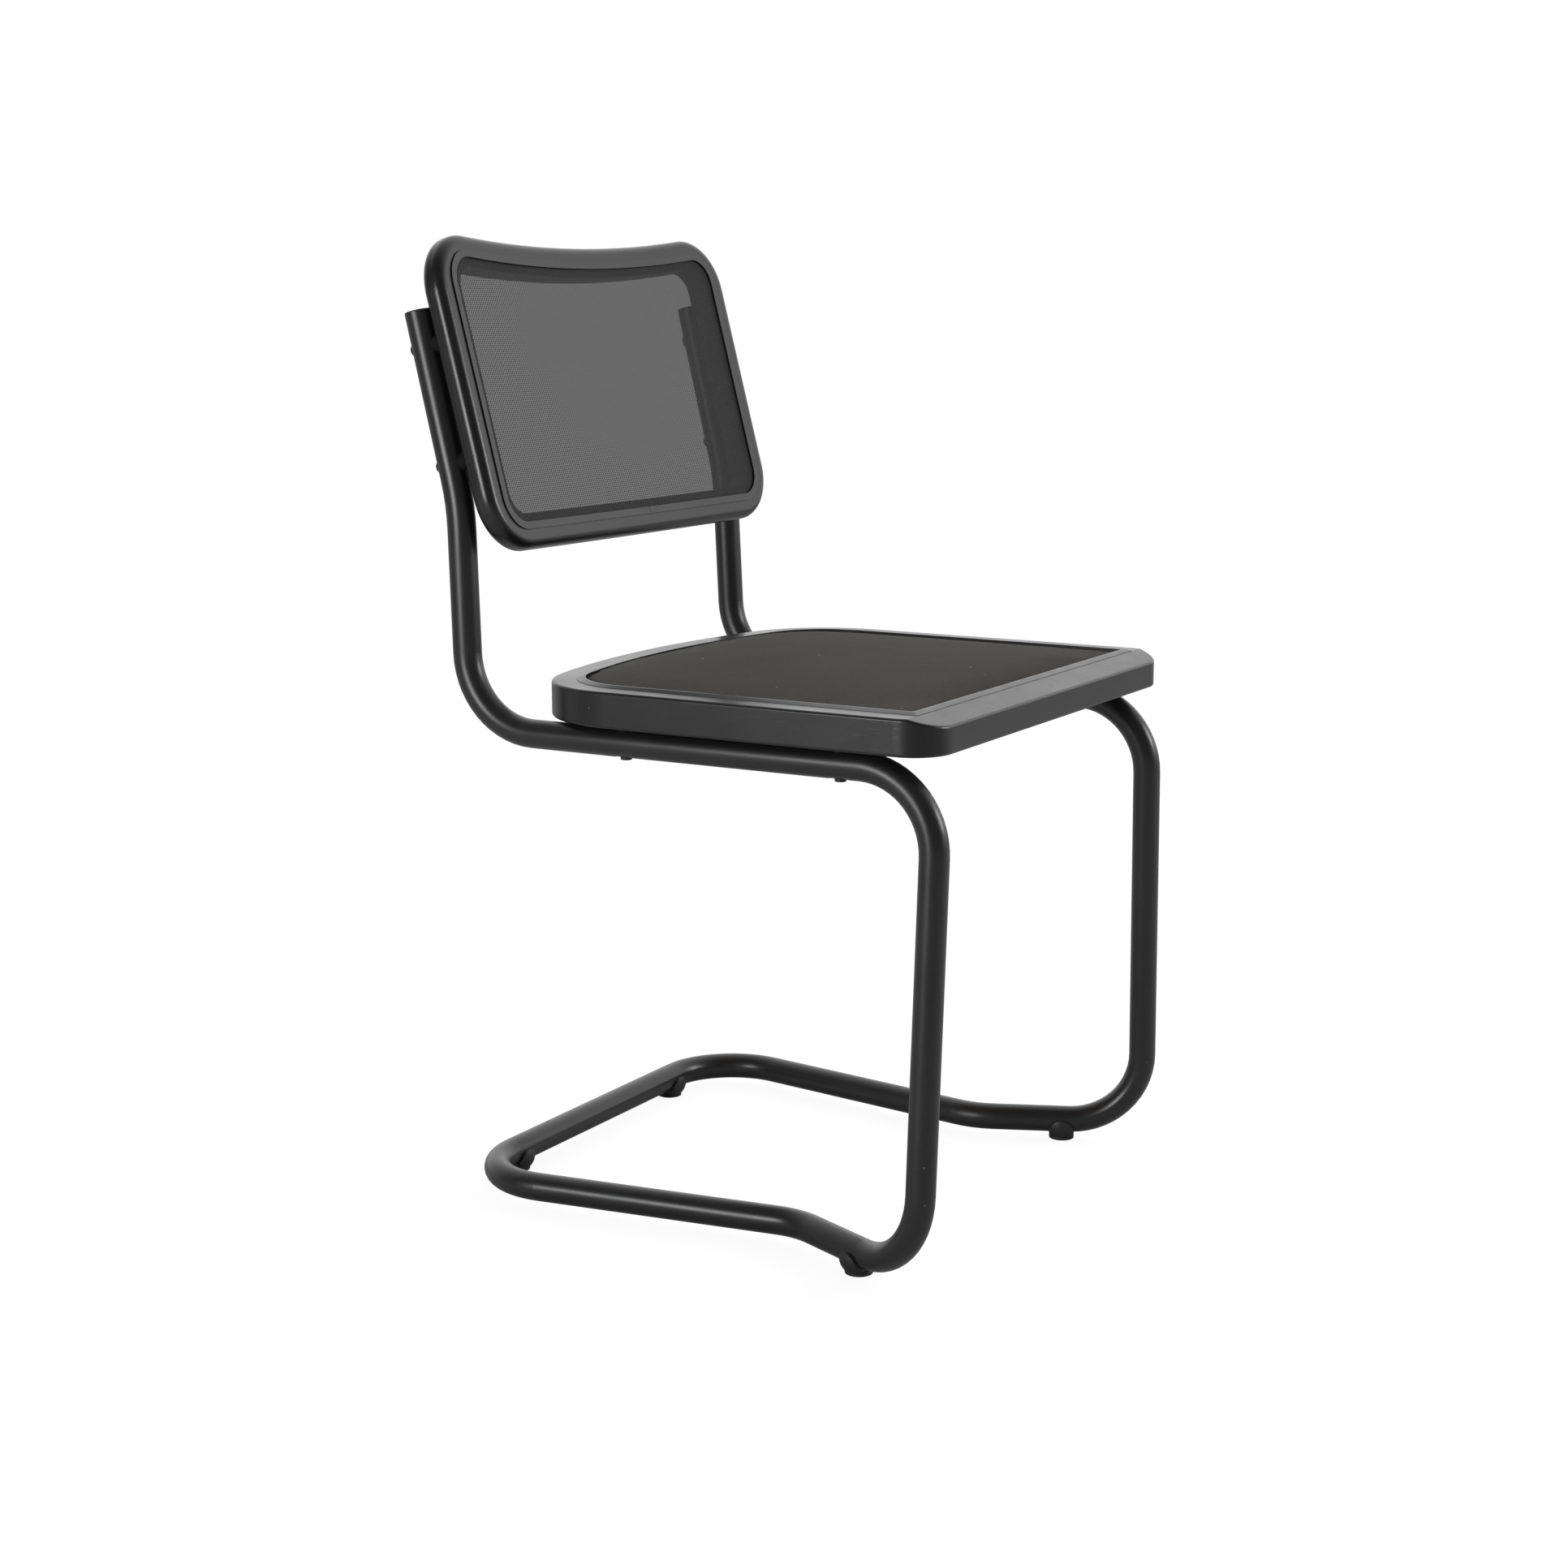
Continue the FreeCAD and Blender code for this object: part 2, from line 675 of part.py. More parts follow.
def back_block(side_inset, top_inset, bottom_inset, corner):
    """A deep block with the outline of the back, drawn in by insets."""
    half = back_half - side_inset
    arc_radius = top_arc_radius + top_inset
    arc_centre = back_top_middle + top_arc_radius
    side_top = arc_centre - math.sqrt(arc_radius ** 2 - half ** 2)
    bottom = -back_bottom + bottom_inset
    top_left = Vector(-half, -REACH, side_top)
    top_right = Vector(half, -REACH, side_top)
    low_left = Vector(-half, -REACH, bottom)
    low_right = Vector(half, -REACH, bottom)
    outline = Part.Wire([
        Part.Arc(top_left, Vector(0, -REACH, arc_centre - arc_radius), top_right).toShape(),
        Part.LineSegment(top_right, low_right).toShape(),
        Part.LineSegment(low_right, low_left).toShape(),
        Part.LineSegment(low_left, top_left).toShape(),
    ])
    block = Part.Face(outline).extrude(Vector(0, 2 * REACH, 0))
    return rounded_edges(block, corner, lambda edge: edge.BoundBox.YLength > REACH)


def slab(front, rear):
    """The curved layer between two depths, measured from the middle of the wood."""
    length = 4 * back_bottom
    start = Vector(0, -slab_radius, -length / 2)
    up = Vector(0, 0, 1)
    outer = Part.makeCylinder(slab_radius + rear, length, start, up)
    inner = Part.makeCylinder(slab_radius + front, length, start, up)
    near = Part.makeBox(2 * (REACH + back_half), 2 * REACH, length,
                        Vector(-REACH - back_half, -REACH, -length / 2))
    return outer.cut(inner).common(near)


def back_layer(side_inset, top_inset, bottom_inset, corner, front, rear):
    """A curved plate with the outline of the back between two depths."""
    return back_block(side_inset, top_inset, bottom_inset, corner).common(slab(front, rear))


def back_inside(extra, front, rear, corner):
    """A curved plate inside the groove line of the back, drawn in by extra."""
    return back_layer(back_stile_inset + extra, back_top_inset + extra,
                      back_bottom_inset + extra, corner, front, rear)


def back_ring():
    """The whole back frame, in its own upright place, before it is parted."""
    half = back_thickness / 2
    plate = back_layer(0, 0, 0, back_corner, -half, half)
    wide_faces = sorted(plate.Faces, key=lambda face: face.Area)[-2:]
    rim = [edge for face in wide_faces for edge in face.OuterWire.Edges]
    plate = plate.makeFillet(back_edge_round, rim)
    inset = back_spline_width + back_ledge_width
    opening = back_block(back_stile_inset + inset, back_top_inset + inset,
                         back_bottom_inset + inset, back_opening_corner)
    plate = plate.cut(opening)
    groove_rear = -half + back_groove_depth
    front = -half - back_thickness / 4
    groove = back_inside(0, front, groove_rear, back_groove_corner)
    groove = groove.cut(back_inside(back_spline_width, front - 1, groove_rear + 1,
                                    back_ledge_corner))
    ledge = back_inside(back_spline_width, front, -half + back_ledge_drop, back_ledge_corner)
    return plate.cut(groove).cut(ledge)


def back_mitre(level):
    """The wedge that holds the top rail (level 1) or the bottom rail (level -1)."""
    if level > 0:
        outer = back_top_middle + back_top_rise
        inner = outer - back_corner
    else:
        outer = -back_bottom
        inner = outer + back_corner
    step = outer - inner
    far = outer + step
    deep = inner - step
    side = back_half + back_corner
    narrow = back_half - 2 * back_corner
    outline = Part.makePolygon([
        Vector(-side, -REACH, far), Vector(side, -REACH, far),
        Vector(narrow, -REACH, deep), Vector(-narrow, -REACH, deep),
        Vector(-side, -REACH, far),
    ])
    return Part.Face(outline).extrude(Vector(0, 2 * REACH, 0))


def make_back_frame():
    """Two rails and two stiles, mitred at the corners, and what fixes them."""
    frame = back_frame_placement()
    ring = back_ring()
    dowels = []
    for side in SIDES:
        for level in (-1, 1):
            outer_z = back_top_middle + back_top_rise if level > 0 else -back_bottom
            inset = back_corner * back_dowel_share
            x = side * (back_half - inset)
            depth = math.sqrt(slab_radius ** 2 - x ** 2) - slab_radius
            centre = Vector(x, depth + back_dowel_depth, outer_z - level * inset)
            across = Vector(side, 0, -level).normalize()
            start = centre - across * (dowel_length / 4)
            dowels.append(round_bar(start, across, dowel_diameter / 3, dowel_length / 2))
    for dowel in dowels:
        ring = ring.cut(dowel)
    ring.Placement = frame
    world_dowels = [moved(dowel, frame) for dowel in dowels]
    inserts, holes = make_back_screws(ring)
    for hole in holes:
        ring = ring.cut(hole)
    top_wedge = moved(back_mitre(1), frame)
    bottom_wedge = moved(back_mitre(-1), frame)
    nodes["back_top_rail"] = ring.common(top_wedge)
    nodes["back_bottom_rail"] = ring.common(bottom_wedge)
    stiles = ring.cut(top_wedge).cut(bottom_wedge).Solids
    stiles.sort(key=lambda solid: solid.CenterOfMass.x)
    nodes["back_stile_left"] = stiles[0]
    nodes["back_stile_right"] = stiles[-1]
    nodes["back_dowels"] = group(world_dowels)
    nodes["back_inserts"] = group(inserts)


def moved(shape, placement):
    """A copy of a shape in another place."""
    copy = shape.copy()
    copy.Placement = placement
    return copy


def make_back_screws(ring):
    """Screws from behind the uprights, spacers between tube and stile, inserts in the stiles."""
    screws = []
    spacers = []
    inserts = []
    holes = []
    reach = 3 * tube_diameter
    for place in back_screw_places():
        ray = Part.makeLine(place, place + upright_front * reach)
        crossing = ring.common(ray)
        rear_face = min((point.Point - place).dot(upright_front) for point in crossing.Vertexes)
        under = place - upright_front * (tube_radius - dimple_depth)
        grip = rear_face + tube_radius - dimple_depth + back_screw_grip - screw_tip_gap
        screws.append(screw(under, upright_front, back_screw_diameter, grip))
        hole = back_screw_diameter / 2 + shank_clearance
        length = rear_face + screw_head_height
        bar = round_bar(place, upright_front, spacer_diameter / 2, length)
        bar = bar.cut(round_bar(place, upright_front, hole, length))
        seat = place + upright_front * rear_face
        sleeve, body = threaded_insert(seat, upright_front, back_screw_diameter, back_screw_grip)
        spacers.append(bar.cut(tube_bar).cut(ring).cut(body))
        inserts.append(sleeve)
        mouth = round_bar(seat, -upright_front, hole, screw_head_height)
        holes.append(body.fuse(mouth))
    nodes["back_screws"] = group(screws)
    nodes["back_spacers"] = group(spacers)
    return inserts, holes


def make_back_panel():
    """The mesh, stretched over the frame, and the spline that holds it."""
    frame = back_frame_placement()
    face = -back_thickness / 2
    mesh_rear = face + back_ledge_drop - soft_gap
    mesh_front = mesh_rear - mesh_thickness
    mesh = back_inside(back_spline_width + soft_gap, mesh_front, mesh_rear, back_ledge_corner)
    nodes["back_mesh"] = moved(mesh, frame)
    rear = face + back_groove_depth
    front = face - back_spline_proud
    strip = back_inside(slide_gap, front, rear, back_groove_corner)
    strip = strip.cut(back_inside(back_spline_width - slide_gap, front - 1, rear + 1,
                                  back_ledge_corner))
    seam = Part.makeBox(spline_butt_gap, 2 * REACH, back_bottom,
                        Vector(spline_butt_x, -REACH, -back_bottom - REACH / 2))
    nodes["back_spline"] = moved(strip.cut(seam), frame)


def write_nodes():
    """Moves the chair over the origin, tests every node and writes one file for each."""
    whole = Part.Compound(list(nodes.values()))
    box = whole.optimalBoundingBox(False)
    shift = Vector(-box.Center.x, -box.Center.y, -box.ZMin)
    print("shift", shift, "size", box.XLength, box.YLength, box.ZLength)
    os.makedirs("parts", exist_ok=True)
    for name, shape in nodes.items():
        shape = shape.copy()
        shape.translate(shift)
        print(name, "solids", len(shape.Solids), "volume", round(shape.Volume),
              "valid", shape.isValid())
        shape.exportStep("parts/" + name + ".step")


make_tube_frame()
make_upright_plugs()
make_glides()
make_seat_frame()
make_seat_upholstery()
make_back_frame()
make_back_panel()
write_nodes()
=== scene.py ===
# %% [markdown]
# # A cantilever dining chair in black
# One steel tube is bent into base, seat rails and back uprights. A wooden seat frame holds a
# padded, fabric-covered panel, and a slightly curved wooden back frame holds a stretched net.
# The construction model is loaded first. It gives every piece its size and place, in metres,
# so this script only adds finishes and remodels the soft pieces.

# %% Load the construction model
import bpy
import math
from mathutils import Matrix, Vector


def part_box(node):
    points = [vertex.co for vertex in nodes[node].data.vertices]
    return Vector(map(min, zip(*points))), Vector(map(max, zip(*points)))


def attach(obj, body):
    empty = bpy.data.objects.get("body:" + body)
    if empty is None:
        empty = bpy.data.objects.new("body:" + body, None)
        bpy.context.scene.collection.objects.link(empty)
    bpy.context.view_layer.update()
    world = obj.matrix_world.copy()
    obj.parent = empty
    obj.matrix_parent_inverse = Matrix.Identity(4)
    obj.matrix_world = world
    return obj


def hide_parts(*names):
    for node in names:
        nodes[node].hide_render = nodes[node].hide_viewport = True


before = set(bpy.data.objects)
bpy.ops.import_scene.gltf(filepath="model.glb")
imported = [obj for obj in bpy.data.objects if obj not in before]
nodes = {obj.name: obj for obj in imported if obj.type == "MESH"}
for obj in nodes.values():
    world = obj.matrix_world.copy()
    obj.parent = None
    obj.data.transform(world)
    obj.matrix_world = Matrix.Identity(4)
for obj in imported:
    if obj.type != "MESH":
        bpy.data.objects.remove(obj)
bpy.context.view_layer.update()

MM = 0.001

# %% [markdown]
# ## The camera
# The photograph was taken from the left front, a little above the seat, with a long lens.
# A camera is added at that place and aimed along its line of sight, with no shift and no
# depth of field, so that it can be moved round the chair without side effects.

# %% Camera
CAMERA_PLACE = Vector((-2.0569, -1.16947, 0.8113))
CAMERA_AZIMUTH = math.radians(-60.06)
CAMERA_ELEVATION = math.radians(10.66)
LENS = 60.63
SENSOR_WIDTH = 36

sight = Vector((-math.sin(CAMERA_AZIMUTH) * math.cos(CAMERA_ELEVATION),
                math.cos(CAMERA_AZIMUTH) * math.cos(CAMERA_ELEVATION),
                -math.sin(CAMERA_ELEVATION)))
bpy.ops.object.camera_add(location=CAMERA_PLACE,
                          rotation=sight.to_track_quat("-Z", "Y").to_euler())
camera = bpy.context.object
camera.data.lens = LENS
camera.data.sensor_width = SENSOR_WIDTH
bpy.context.scene.camera = camera
bpy.context.scene.view_settings.view_transform = "Standard"
print("camera looks along", sight)

# %% [markdown]
# ## Small helpers for materials
# A material is a graph of nodes. These helpers add a node, join two sockets and write a sum,
# so that the materials below read like a recipe. Each takes sockets or plain values.

# %% Helpers: nodes and sums
def add_node(tree, kind, **settings):
    node = tree.nodes.new(kind)
    for name, value in settings.items():
        setattr(node, name, value)
    return node


def feed(tree, source, socket):
    """Joins a socket to another, or writes a plain value into it."""
    if isinstance(source, bpy.types.NodeSocket):
        tree.links.new(source, socket)
    else:
        socket.default_value = source


def feed_all(tree, sources, sockets):
    for source, socket in zip(sources, sockets):
        feed(tree, source, socket)


def formula(tree, operation, *terms):
    node = add_node(tree, "ShaderNodeMath", operation=operation)
    feed_all(tree, terms, node.inputs)
    return node.outputs[0]


def vector_formula(tree, operation, *terms):
    """The same for places. A length or a dot product comes out as a number."""
    node = add_node(tree, "ShaderNodeVectorMath", operation=operation)
    feed_all(tree, terms, node.inputs)
    return node.outputs["Value" if operation in ("LENGTH", "DOT_PRODUCT") else "Vector"]


def weighted_sum(tree, *parts):
    """Adds up pairs of a value and its weight."""
    total = 0.0
    for value, weight in parts:
        total = formula(tree, "ADD", total, formula(tree, "MULTIPLY", value, weight))
    return total


def spread(tree, value, low, high, new_low=0.0, new_high=1.0):
    """Maps low..high onto new_low..new_high, clamped."""
    node = add_node(tree, "ShaderNodeMapRange")
    feed_all(tree, (value, low, high, new_low, new_high), node.inputs)
    return node.outputs[0]


def between(tree, share, least, most):
    """Goes from least to most as the share goes from 0 to 1."""
    return spread(tree, share, 0, 1, least, most)


# %% Helpers: colours, patterns and bumps
def blend_colours(tree, share, first, second):
    """Mixes two colours, each a socket or plain red, green and blue."""
    node = add_node(tree, "ShaderNodeMix", data_type="RGBA")
    feed(tree, share, node.inputs[0])
    for colour, socket in ((first, node.inputs[6]), (second, node.inputs[7])):
        feed(tree, (*colour, 1) if isinstance(colour, tuple) else colour, socket)
    return node.outputs[2]


def noise(tree, place, scale, detail=2.0, roughness=0.5):
    node = add_node(tree, "ShaderNodeTexNoise")
    for name, value in (("Vector", place), ("Scale", scale), ("Detail", detail),
                        ("Roughness", roughness)):
        feed(tree, value, node.inputs[name])
    return node.outputs["Fac"]


def wave(tree, distance, pitch):
    """A sine that repeats after each pitch."""
    return formula(tree, "SINE", formula(tree, "MULTIPLY", distance, 2 * math.pi / pitch))


def axes_of(tree, place):
    node = add_node(tree, "ShaderNodeSeparateXYZ")
    feed(tree, place, node.inputs[0])
    return node.outputs


def object_place(tree):
    return add_node(tree, "ShaderNodeTexCoord").outputs["Object"]


def bump(tree, height, distance, strength):
    node = add_node(tree, "ShaderNodeBump")
    node.inputs["Strength"].default_value = strength
    node.inputs["Distance"].default_value = distance
    feed(tree, height, node.inputs["Height"])
    return node.outputs["Normal"]


# %% Helpers: groups and materials
def new_group(name, inputs, outputs):
    """A reusable node group. Inputs come with their kind, and all outputs are numbers."""
    tree = bpy.data.node_groups.new(name, "ShaderNodeTree")
    for title, kind in inputs.items():
        tree.interface.new_socket(title, in_out="INPUT", socket_type="NodeSocket" + kind)
    for title in outputs:
        tree.interface.new_socket(title, in_out="OUTPUT", socket_type="NodeSocketFloat")
    return tree, tree.nodes.new("NodeGroupInput").outputs, tree.nodes.new("NodeGroupOutput").inputs


def use_group(tree, group, **values):
    """Places a group in a material. Keyword names are the titles of its inputs."""
    node = add_node(tree, "ShaderNodeGroup", node_tree=group)
    for name, value in values.items():
        feed(tree, value, node.inputs[name])
    return node.outputs


def new_material(name, **constants):
    """A material with constant values on its Principled shader. Keywords have _ for a space."""
    material = bpy.data.materials.new(name)
    material.use_nodes = True
    tree = material.node_tree
    shader = tree.nodes["Principled BSDF"].inputs
    for title, value in constants.items():
        shader[title.replace("_", " ")].default_value = value
    return material, tree, shader


# %% [markdown]
# ## Shared surface effects
# The same small marks appear on tube, wood and plastic: specks of dust, a fine skin texture
# and scuffs at places that get knocked. They could be painted on images, but a group of nodes
# is sharp at any distance and is used again with other values.

# %% Group: specks of dust
LARGEST_SPECK = 0.16


def make_speck_group():
    """Round specks. Amount is the share of cells that have one, Spacing the size of a cell."""
    tree, given, out = new_group("Dust specks",
                                 {"Vector": "Vector", "Spacing": "Float", "Amount": "Float"},
                                 ["Mask"])
    cells = add_node(tree, "ShaderNodeTexVoronoi", feature="F1")
    feed(tree, given["Vector"], cells.inputs["Vector"])
    feed(tree, formula(tree, "DIVIDE", 1.0, given["Spacing"]), cells.inputs["Scale"])
    chance = add_node(tree, "ShaderNodeSeparateColor")
    feed(tree, cells.outputs["Color"], chance.inputs[0])
    rare = formula(tree, "LESS_THAN", chance.outputs[0], given["Amount"])
    size = formula(tree, "MULTIPLY", chance.outputs[1], LARGEST_SPECK)
    near = formula(tree, "LESS_THAN", cells.outputs["Distance"], size)
    feed(tree, formula(tree, "MULTIPLY", rare, near), out["Mask"])
    return tree


dust_specks = make_speck_group()

# %% Group: a scuffed spot
STREAK_EDGE = 0.04


def make_scuff_group():
    """Broken streaks inside a soft-edged ball or oval round one place."""
    tree, given, out = new_group("Scuffed spot",
                                 {"Vector": "Vector", "Centre": "Vector", "Reach": "Vector",
                                  "Streaks": "Vector", "Cover": "Float"},
                                 ["Mask"])
    offset = vector_formula(tree, "SUBTRACT", given["Vector"], given["Centre"])
    shares = vector_formula(tree, "DIVIDE", offset, given["Reach"])
    reached = vector_formula(tree, "LENGTH", shares)
    fade = spread(tree, reached, low=0.4, high=1.0, new_low=1.0, new_high=0.0)
    stretched = vector_formula(tree, "MULTIPLY", given["Vector"], given["Streaks"])
    streak = noise(tree, stretched, scale=1.0, detail=4.0, roughness=0.7)
    edge = formula(tree, "SUBTRACT", 1.0, given["Cover"])
    mark = spread(tree, streak, edge, formula(tree, "ADD", edge, STREAK_EDGE))
    feed(tree, formula(tree, "MULTIPLY", mark, fade), out["Mask"])
    return tree


scuffed_spot = make_scuff_group()


# %% Group: fine skin of paint, lacquer or moulding
def make_skin_group():
    """Two sizes of noise: a fine skin for the bump and slow patches for the gloss."""
    tree, given, out = new_group("Fine skin",
                                 {"Vector": "Vector", "Grain": "Float", "Patch": "Float"},
                                 ["Height", "Patches"])
    fine, slow = [noise(tree, given["Vector"], formula(tree, "DIVIDE", 1.0, given[size]),
                        detail=3.0, roughness=0.6) for size in ("Grain", "Patch")]
    feed(tree, fine, out["Height"])
    feed(tree, spread(tree, slow, low=0.3, high=0.7), out["Patches"])
    return tree


fine_skin = make_skin_group()
print("surface groups:", [group.name for group in bpy.data.node_groups])

# %% [markdown]
# ## Powder-coated tube
# The steel is sprayed with a satin black powder that melts to a slightly pebbled skin. It could
# be plain black with one gloss, but the real skin scatters the light unevenly, so fine noise
# lifts the normal and slow noise moves the roughness. Scratches sit where feet rub the runner.

# %% Material: black tube
TUBE_DARK = (0.0085, 0.0085, 0.009)
TUBE_LIGHT = (0.0110, 0.0110, 0.0115)
TUBE_DUST = (0.09, 0.09, 0.09)
TUBE_WORN = (0.12, 0.12, 0.125)
TUBE_ROUGHNESS = (0.30, 0.37)
RUNNER_SCRATCH = (-0.2085, 0.161, 0.027)
RUNNER_RUB = (-0.187, 0.008, 0.026)
GLIDE_CHIP = (-0.214, -0.215, 0.02)


def make_tube_finish():
    material, tree, shader = new_material("black powder coat", IOR=1.5)
    place = object_place(tree)
    skin = use_group(tree, fine_skin, Vector=place, Grain=0.8 * MM, Patch=60 * MM)
    specks = use_group(tree, dust_specks, Vector=place, Spacing=9 * MM, Amount=0.06)
    scratch = use_group(tree, scuffed_spot, Vector=place, Centre=RUNNER_SCRATCH,
                        Reach=(0.02, 0.045, 0.012), Streaks=(700, 90, 900), Cover=0.36)
    rub = use_group(tree, scuffed_spot, Vector=place, Centre=RUNNER_RUB,
                    Reach=(0.02, 0.06, 0.008), Streaks=(900, 60, 900), Cover=0.36)
    chip = use_group(tree, scuffed_spot, Vector=place, Centre=GLIDE_CHIP,
                     Reach=(0.012, 0.012, 0.012), Streaks=(900, 900, 900), Cover=0.4)
    marks = formula(tree, "MAXIMUM", rub["Mask"], chip["Mask"])
    marks = formula(tree, "MAXIMUM", scratch["Mask"], marks)
    black = blend_colours(tree, skin["Patches"], TUBE_DARK, TUBE_LIGHT)
    dusty = blend_colours(tree, specks["Mask"], black, TUBE_DUST)
    worn = blend_colours(tree, formula(tree, "MULTIPLY", marks, 0.6), dusty, TUBE_WORN)
    feed(tree, worn, shader["Base Color"])
    feed(tree, between(tree, skin["Patches"], *TUBE_ROUGHNESS), shader["Roughness"])
    feed(tree, bump(tree, skin["Height"], 0.05 * MM, strength=0.5), shader["Normal"])
    return material


tube_finish = make_tube_finish()
print("finish of the tube:", tube_finish.name)

# %% [markdown]
# ## Black lacquered beech
# The seat and back frames are beech, stained black and lacquered satin. The pores still show as
# short fine dashes along the grain. A picture of wood would repeat and show its seams, but a
# noise stretched along one axis makes such dashes without end. Each rail gets its own grain
# direction, because its wood runs along its length.

# %% Group: pores of wood
TONE_SCALE = (0.12, 0.12, 0.12)


def make_pore_group():
    """Short dashes along the grain, and a slow change of tone between them."""
    tree, given, out = new_group("Wood pores",
                                 {"Vector": "Vector", "Stretch": "Vector"},
                                 ["Pores", "Tone"])
    stretched = vector_formula(tree, "MULTIPLY", given["Vector"], given["Stretch"])
    dashes = noise(tree, stretched, scale=1.0, detail=3.0, roughness=0.65)
    feed(tree, spread(tree, dashes, low=0.6, high=0.72), out["Pores"])
    slower = vector_formula(tree, "MULTIPLY", stretched, TONE_SCALE)
    feed(tree, noise(tree, slower, scale=1.0, detail=3.0, roughness=0.6), out["Tone"])
    return tree


wood_pores = make_pore_group()

# %% Materials: black wood in three grain directions
LACQUER_DARK = (0.0040, 0.0041, 0.0047)
LACQUER_LIGHT = (0.0062, 0.0063, 0.0071)
LACQUER_PORE = (0.003, 0.003, 0.003)
LACQUER_DUST = (0.08, 0.08, 0.08)
LACQUER_ROUGHNESS = (0.27, 0.33)
BARE_BEECH = (0.06, 0.032, 0.018)
PORES_ACROSS = 1100.0
PORES_ALONG = 55.0
SEAT_EDGE_SCUFF = (-0.2395, 0.09, 0.4765)


def make_wood_finish(name, along):
    """Black lacquer over wood whose grain runs along X, Y or Z."""
    stretch = [PORES_ACROSS, PORES_ACROSS, PORES_ACROSS]
    stretch["XYZ".index(along)] = PORES_ALONG
    material, tree, shader = new_material(name, IOR=1.5)
    place = object_place(tree)
    pores = use_group(tree, wood_pores, Vector=place, Stretch=stretch)
    skin = use_group(tree, fine_skin, Vector=place, Grain=2.5 * MM, Patch=45 * MM)
    specks = use_group(tree, dust_specks, Vector=place, Spacing=10 * MM, Amount=0.05)
    scuff = use_group(tree, scuffed_spot, Vector=place, Centre=SEAT_EDGE_SCUFF,
                      Reach=(0.006, 0.03, 0.004), Streaks=(900, 250, 900), Cover=0.46)
    black = blend_colours(tree, pores["Tone"], LACQUER_DARK, LACQUER_LIGHT)
    filled = formula(tree, "MULTIPLY", pores["Pores"], 0.45)
    pored = blend_colours(tree, filled, black, LACQUER_PORE)
    dusty = blend_colours(tree, specks["Mask"], pored, LACQUER_DUST)
    worn = blend_colours(tree, formula(tree, "MULTIPLY", scuff["Mask"], 0.7), dusty, BARE_BEECH)
    feed(tree, worn, shader["Base Color"])
    satin = between(tree, skin["Patches"], *LACQUER_ROUGHNESS)
    dull = formula(tree, "MULTIPLY", pores["Pores"], 0.12)
    feed(tree, formula(tree, "ADD", satin, dull), shader["Roughness"])
    height = formula(tree, "SUBTRACT", skin["Height"], pores["Pores"])
    feed(tree, bump(tree, height, 0.04 * MM, strength=0.4), shader["Normal"])
    return material


wood_across = make_wood_finish("black beech, grain across", "X")
wood_lengthwise = make_wood_finish("black beech, grain front to back", "Y")
wood_upright = make_wood_finish("black beech, grain upright", "Z")
print("finishes of the wood:", wood_across.name, wood_lengthwise.name, wood_upright.name, sep="\n")

# %% [markdown]
# ## Plastic, steel and hidden materials
# The glides and plugs are moulded black plastic, the spacers are a duller black, the splines
# are glossy black extrusions, and the screws are blackened steel. Under the cover hide foam,
# plywood, dowels and brass inserts, which show only when the chair is taken apart. Each could
# have a graph of its own, but they differ only in colour, gloss and grain, so two recipes do.

# %% Recipes: a plain surface and a layered one
PLAIN_DUST = (0.09, 0.09, 0.09)


def make_plain_finish(name, dark, light, roughness, grain, **constants):
    """A surface that varies between two colours, with a fine skin."""
    material, tree, shader = new_material(name, **constants)
    place = object_place(tree)
    skin = use_group(tree, fine_skin, Vector=place, Grain=grain, Patch=25 * MM)
    specks = use_group(tree, dust_specks, Vector=place, Spacing=8 * MM, Amount=0.05)
    tone = blend_colours(tree, skin["Patches"], dark, light)
    faint = formula(tree, "MULTIPLY", specks["Mask"], 0.5)
    feed(tree, blend_colours(tree, faint, tone, PLAIN_DUST), shader["Base Color"])
    feed(tree, between(tree, skin["Patches"], roughness, roughness + 0.08), shader["Roughness"])
    feed(tree, bump(tree, skin["Height"], 0.05 * MM, strength=0.4), shader["Normal"])
    return material


def make_layered_finish(name, stretch, dark, light, roughness):
    """Bare wood: streaks of two tones, with pores half as light as the darker one."""
    material, tree, shader = new_material(name)
    pores = use_group(tree, wood_pores, Vector=object_place(tree), Stretch=stretch)
    tone = blend_colours(tree, pores["Tone"], dark, light)
    shade = tuple(channel * 0.5 for channel in dark)
    feed(tree, blend_colours(tree, pores["Pores"], tone, shade), shader["Base Color"])
    feed(tree, between(tree, pores["Tone"], roughness, roughness + 0.1), shader["Roughness"])
    feed(tree, bump(tree, pores["Pores"], 0.05 * MM, strength=0.3), shader["Normal"])
    return material


# %% Materials: plastic, steel, brass, foam and bare wood
glide_finish = make_plain_finish("black glide plastic", roughness=0.42, grain=0.5 * MM,
                                 dark=(0.010, 0.010, 0.0105), light=(0.014, 0.014, 0.0145))
pad_finish = make_plain_finish("black glide pad", roughness=0.62, grain=0.4 * MM,
                               dark=(0.014, 0.014, 0.014), light=(0.02, 0.02, 0.02))
spacer_finish = make_plain_finish("dull black plastic", roughness=0.75, grain=0.6 * MM,
                                  dark=(0.004, 0.004, 0.004), light=(0.006, 0.006, 0.006),
                                  Specular_IOR_Level=0.2)
spline_finish = make_plain_finish("black spline", roughness=0.3, grain=1.2 * MM,
                                  dark=(0.010, 0.010, 0.0105), light=(0.014, 0.014, 0.015))
screw_finish = make_plain_finish("blackened steel", roughness=0.34, grain=0.6 * MM, Metallic=1.0,
                                 dark=(0.035, 0.035, 0.037), light=(0.05, 0.05, 0.052))
brass_finish = make_plain_finish("brass", roughness=0.3, grain=0.6 * MM, Metallic=1.0,
                                 dark=(0.62, 0.42, 0.17), light=(0.7, 0.5, 0.22))
